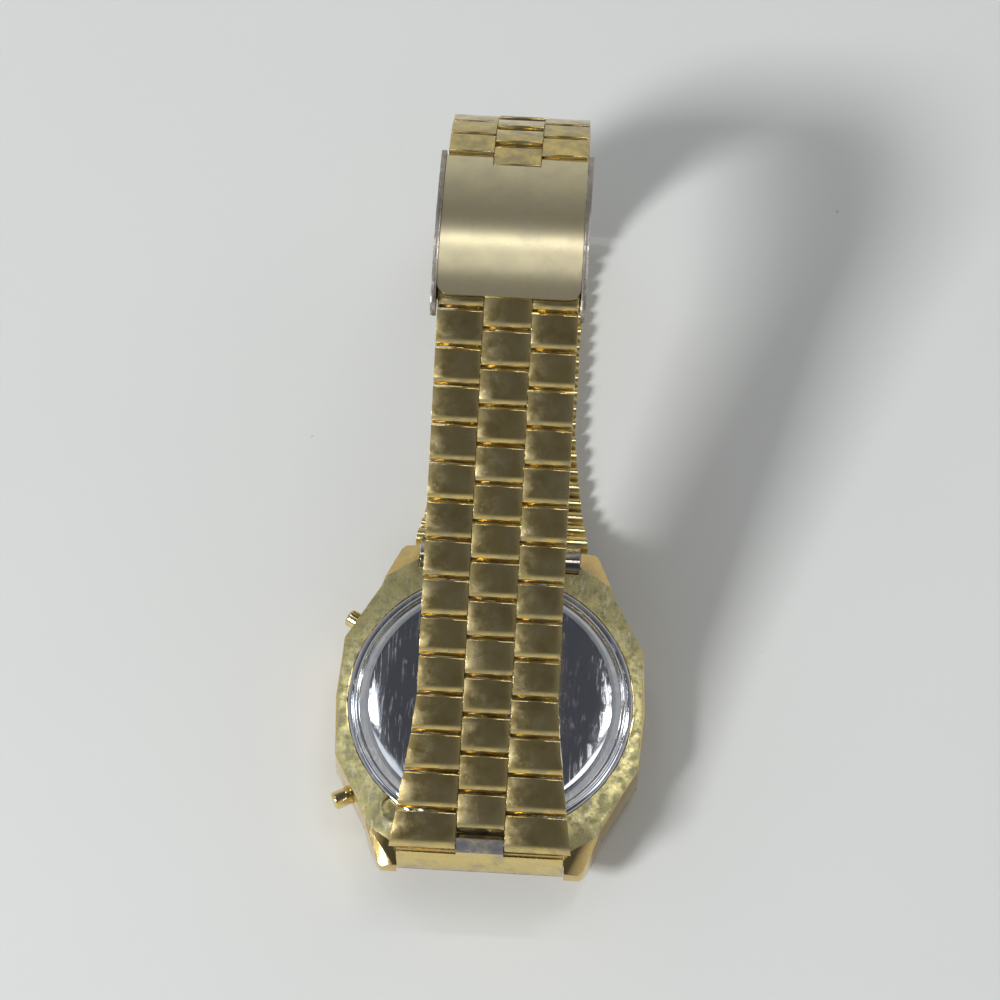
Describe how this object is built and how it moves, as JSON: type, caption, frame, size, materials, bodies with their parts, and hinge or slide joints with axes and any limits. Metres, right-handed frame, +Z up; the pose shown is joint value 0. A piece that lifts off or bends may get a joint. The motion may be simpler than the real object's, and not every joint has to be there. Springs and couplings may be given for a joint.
{
  "type": "lcd watch",
  "caption": "Gold-tone digital wrist watch lying face down: faceted case with a polished steel back, two pushers and a folded-link bracelet closed in a loop by a curved sliding clasp.",
  "frame": {"origin": "middle of the crystal's outer face, on the table that the watch lies on face down", "axes": "+Z up, from the crystal to the back of the case; +Y along the bracelet towards the far end of the loop; +X to the side without pushers"},
  "size_m": [0.0338, 0.0851, 0.0411],
  "materials": {
    "case_gold": "polished gold plate, worn matte round the back",
    "back_steel": "polished stainless steel, finely scratched",
    "gasket": "matte",
    "crystal": "clear",
    "mask_print": "printed",
    "lcd": "satin grey-green",
    "elastomer": "soft",
    "module_plastic": "moulded",
    "board": "solder mask",
    "steel": "drawn",
    "contact_brass": "stamped",
    "pusher_gold": "polished gold plate",
    "clasp_steel": "worn plate over steel",
    "cover_gold": "brushed gold plate",
    "end_gold": "polished gold plate",
    "link_gold": "polished gold plate, rubbed on the outside"
  },
  "bodies": {
    "case": {"case_body": "case_gold", "caseback": "back_steel", "caseback_gasket": "gasket", "crystal": "crystal", "crystal_gasket": "gasket", "dial_mask": "mask_print", "lcd_glass": "lcd", "contact_strips": "elastomer", "module_housing": "module_plastic", "circuit_board": "board", "battery": "steel", "battery_clip": "contact_brass", "buzzer_spring": "contact_brass", "pusher_springs": "steel", "near_spring_bar": "steel", "far_spring_bar": "steel"},
    "near_end": {"near_end_piece": "end_gold"},
    "near_link_01": {"near_row_01": "link_gold"},
    "near_link_02": {"near_row_02": "link_gold"},
    "near_link_03": {"near_row_03": "link_gold"},
    "near_link_04": {"near_row_04": "link_gold"},
    "near_link_05": {"near_row_05": "link_gold"},
    "near_link_06": {"near_row_06": "link_gold"},
    "near_link_07": {"near_row_07": "link_gold"},
    "near_link_08": {"near_row_08": "link_gold"},
    "near_link_09": {"near_row_09": "link_gold"},
    "near_link_10": {"near_row_10": "link_gold"},
    "near_link_11": {"near_row_11": "link_gold"},
    "near_link_12": {"near_row_12": "link_gold"},
    "near_link_13": {"near_row_13": "link_gold"},
    "near_link_14": {"near_row_14": "link_gold"},
    "clasp": {"near_strap_end": "link_gold", "clasp_slider": "clasp_steel", "clasp_channel": "clasp_steel", "clasp_hinge_pin": "steel"},
    "cover": {"clasp_cover": "cover_gold"},
    "far_end": {"far_end_piece": "end_gold"},
    "far_link_01": {"far_row_01": "link_gold"},
    "far_link_02": {"far_row_02": "link_gold"},
    "far_link_03": {"far_row_03": "link_gold"},
    "far_link_04": {"far_row_04": "link_gold"},
    "far_link_05": {"far_row_05": "link_gold"},
    "far_link_06": {"far_row_06": "link_gold"},
    "far_link_07": {"far_row_07": "link_gold"},
    "far_link_08": {"far_row_08": "link_gold"},
    "far_link_09": {"far_row_09": "link_gold"},
    "far_link_10": {"far_row_10": "link_gold"},
    "far_link_11": {"far_row_11": "link_gold"},
    "far_link_12": {"far_row_12": "link_gold"},
    "far_link_13": {"far_row_13": "link_gold"},
    "far_link_14": {"far_row_14": "link_gold"},
    "far_link_15": {"far_row_15": "link_gold"},
    "far_link_16": {"far_row_16": "link_gold"},
    "far_link_17": {"far_row_17": "link_gold"},
    "far_link_18": {"far_row_18": "link_gold"},
    "far_link_19": {"far_row_19": "link_gold"},
    "far_link_20": {"far_row_20": "link_gold"},
    "pusher_upper": {"pusher_upper": "pusher_gold"},
    "pusher_lower": {"pusher_lower": "pusher_gold"}
  },
  "joints": [
    {"name": "band_open", "type": "hinge", "parent": "case", "child": "near_end", "pos_m": [0, -0.0178, 0.0063], "axis": [1, 0, 0], "range_deg": [0, 94]},
    {"name": "near_hinge_01", "type": "hinge", "parent": "near_end", "child": "near_link_01", "pos_m": [0, -0.01795, 0.01175], "axis": [1, 0, 0], "range_deg": [0, 28.6]},
    {"name": "near_hinge_02", "type": "hinge", "parent": "near_link_01", "child": "near_link_02", "pos_m": [0, -0.0143, 0.01361], "axis": [1, 0, 0], "range_deg": [0, 4]},
    {"name": "near_hinge_03", "type": "hinge", "parent": "near_link_02", "child": "near_link_03", "pos_m": [0, -0.01065, 0.01547], "axis": [1, 0, 0], "range_deg": [0, 4]},
    {"name": "near_hinge_04", "type": "hinge", "parent": "near_link_03", "child": "near_link_04", "pos_m": [0, -0.00699, 0.01733], "axis": [1, 0, 0], "range_deg": [0, 4]},
    {"name": "near_hinge_05", "type": "hinge", "parent": "near_link_04", "child": "near_link_05", "pos_m": [0, -0.00334, 0.01919], "axis": [1, 0, 0], "range_deg": [0, 4]},
    {"name": "near_hinge_06", "type": "hinge", "parent": "near_link_05", "child": "near_link_06", "pos_m": [0, 0.00031, 0.02105], "axis": [1, 0, 0], "range_deg": [0, 4]},
    {"name": "near_hinge_07", "type": "hinge", "parent": "near_link_06", "child": "near_link_07", "pos_m": [0, 0.00397, 0.02292], "axis": [1, 0, 0], "range_deg": [0, 4]},
    {"name": "near_hinge_08", "type": "hinge", "parent": "near_link_07", "child": "near_link_08", "pos_m": [0, 0.00762, 0.02478], "axis": [1, 0, 0], "range_deg": [0, 4]},
    {"name": "near_hinge_09", "type": "hinge", "parent": "near_link_08", "child": "near_link_09", "pos_m": [0, 0.01127, 0.02664], "axis": [1, 0, 0], "range_deg": [0, 4]},
    {"name": "near_hinge_10", "type": "hinge", "parent": "near_link_09", "child": "near_link_10", "pos_m": [0, 0.01493, 0.0285], "axis": [1, 0, 0], "range_deg": [0, 4]},
    {"name": "near_hinge_11", "type": "hinge", "parent": "near_link_10", "child": "near_link_11", "pos_m": [0, 0.01858, 0.03036], "axis": [1, 0, 0], "range_deg": [0, 4]},
    {"name": "near_hinge_12", "type": "hinge", "parent": "near_link_11", "child": "near_link_12", "pos_m": [0, 0.02223, 0.03222], "axis": [1, 0, 0], "range_deg": [0, 4]},
    {"name": "near_hinge_13", "type": "hinge", "parent": "near_link_12", "child": "near_link_13", "pos_m": [0, 0.02589, 0.03408], "axis": [1, 0, 0], "range_deg": [0, 4]},
    {"name": "near_hinge_14", "type": "hinge", "parent": "near_link_13", "child": "near_link_14", "pos_m": [0, 0.02954, 0.03595], "axis": [1, 0, 0], "range_deg": [0, 4]},
    {"name": "clasp_hinge", "type": "hinge", "parent": "near_link_14", "child": "clasp", "pos_m": [0, 0.03319, 0.03781], "axis": [1, 0, 0], "range_deg": [0, 4]},
    {"name": "clasp_cover_open", "type": "hinge", "parent": "clasp", "child": "cover", "pos_m": [0, 0.04979, 0.0382], "axis": [-1, 0, 0], "range_deg": [0, 100]},
    {"name": "far_end_hinge", "type": "hinge", "parent": "case", "child": "far_end", "pos_m": [0, 0.0178, 0.0063], "axis": [1, 0, 0], "range_deg": [0, 49.02]},
    {"name": "far_hinge_01", "type": "hinge", "parent": "far_end", "child": "far_link_01", "pos_m": [0, 0.02209, 0.00294], "axis": [-1, 0, 0], "range_deg": [0, 3.3]},
    {"name": "far_hinge_02", "type": "hinge", "parent": "far_link_01", "child": "far_link_02", "pos_m": [0, 0.02595, 0.00154], "axis": [-1, 0, 0], "range_deg": [0, 3.3]},
    {"name": "far_hinge_03", "type": "hinge", "parent": "far_link_02", "child": "far_link_03", "pos_m": [0, 0.03002, 0.00105], "axis": [-1, 0, 0], "range_deg": [0, 3.3]},
    {"name": "far_hinge_04", "type": "hinge", "parent": "far_link_03", "child": "far_link_04", "pos_m": [0, 0.03412, 0.00105], "axis": [-1, 0, 0], "range_deg": [0, 3.3]},
    {"name": "far_hinge_05", "type": "hinge", "parent": "far_link_04", "child": "far_link_05", "pos_m": [0, 0.03822, 0.00105], "axis": [-1, 0, 0], "range_deg": [0, 3.3]},
    {"name": "far_hinge_06", "type": "hinge", "parent": "far_link_05", "child": "far_link_06", "pos_m": [0, 0.04232, 0.00105], "axis": [-1, 0, 0], "range_deg": [0, 3.3]},
    {"name": "far_hinge_07", "type": "hinge", "parent": "far_link_06", "child": "far_link_07", "pos_m": [0, 0.04642, 0.00105], "axis": [-1, 0, 0], "range_deg": [0, 3.3]},
    {"name": "far_hinge_08", "type": "hinge", "parent": "far_link_07", "child": "far_link_08", "pos_m": [0, 0.05052, 0.00105], "axis": [-1, 0, 0], "range_deg": [0, 3.3]},
    {"name": "far_hinge_09", "type": "hinge", "parent": "far_link_08", "child": "far_link_09", "pos_m": [0, 0.05462, 0.00105], "axis": [-1, 0, 0], "range_deg": [0, 11.76]},
    {"name": "far_hinge_10", "type": "hinge", "parent": "far_link_09", "child": "far_link_10", "pos_m": [0, 0.05867, 0.00165], "axis": [-1, 0, 0], "range_deg": [0, 29.32]},
    {"name": "far_hinge_11", "type": "hinge", "parent": "far_link_10", "child": "far_link_11", "pos_m": [0, 0.06205, 0.00397], "axis": [-1, 0, 0], "range_deg": [0, 29.32]},
    {"name": "far_hinge_12", "type": "hinge", "parent": "far_link_11", "child": "far_link_12", "pos_m": [0, 0.06407, 0.00754], "axis": [-1, 0, 0], "range_deg": [0, 24.32]},
    {"name": "far_hinge_13", "type": "hinge", "parent": "far_link_12", "child": "far_link_13", "pos_m": [0, 0.06468, 0.0116], "axis": [-1, 0, 0], "range_deg": [0, 12.32]},
    {"name": "far_hinge_14", "type": "hinge", "parent": "far_link_13", "child": "far_link_14", "pos_m": [0, 0.06464, 0.0157], "axis": [-1, 0, 0], "range_deg": [0, 9.32]},
    {"name": "far_hinge_15", "type": "hinge", "parent": "far_link_14", "child": "far_link_15", "pos_m": [0, 0.06417, 0.01977], "axis": [-1, 0, 0], "range_deg": [0, 9.32]},
    {"name": "far_hinge_16", "type": "hinge", "parent": "far_link_15", "child": "far_link_16", "pos_m": [0, 0.06327, 0.02377], "axis": [-1, 0, 0], "range_deg": [0, 12.32]},
    {"name": "far_hinge_17", "type": "hinge", "parent": "far_link_16", "child": "far_link_17", "pos_m": [0, 0.06176, 0.02758], "axis": [-1, 0, 0], "range_deg": [0, 13.32]},
    {"name": "far_hinge_18", "type": "hinge", "parent": "far_link_17", "child": "far_link_18", "pos_m": [0, 0.05961, 0.03107], "axis": [-1, 0, 0], "range_deg": [0, 14.32]},
    {"name": "far_hinge_19", "type": "hinge", "parent": "far_link_18", "child": "far_link_19", "pos_m": [0, 0.05683, 0.03409], "axis": [-1, 0, 0], "range_deg": [0, 14.32]},
    {"name": "far_hinge_20", "type": "hinge", "parent": "far_link_19", "child": "far_link_20", "pos_m": [0, 0.05353, 0.03652], "axis": [-1, 0, 0], "range_deg": [0, 15.32]},
    {"name": "pusher_upper_press", "type": "slide", "parent": "case", "child": "pusher_upper", "axis": [0.8774, -0.4798, 0], "range_m": [0, 0.0009], "stiffness_N_per_m": 600},
    {"name": "pusher_lower_press", "type": "slide", "parent": "case", "child": "pusher_lower", "axis": [0.8774, 0.4798, 0], "range_m": [0, 0.0009], "stiffness_N_per_m": 600}
  ],
  "couplings": [
    {"joint": "far_end_hinge", "follows": "band_open", "ratio": 0.51064}
  ]
}
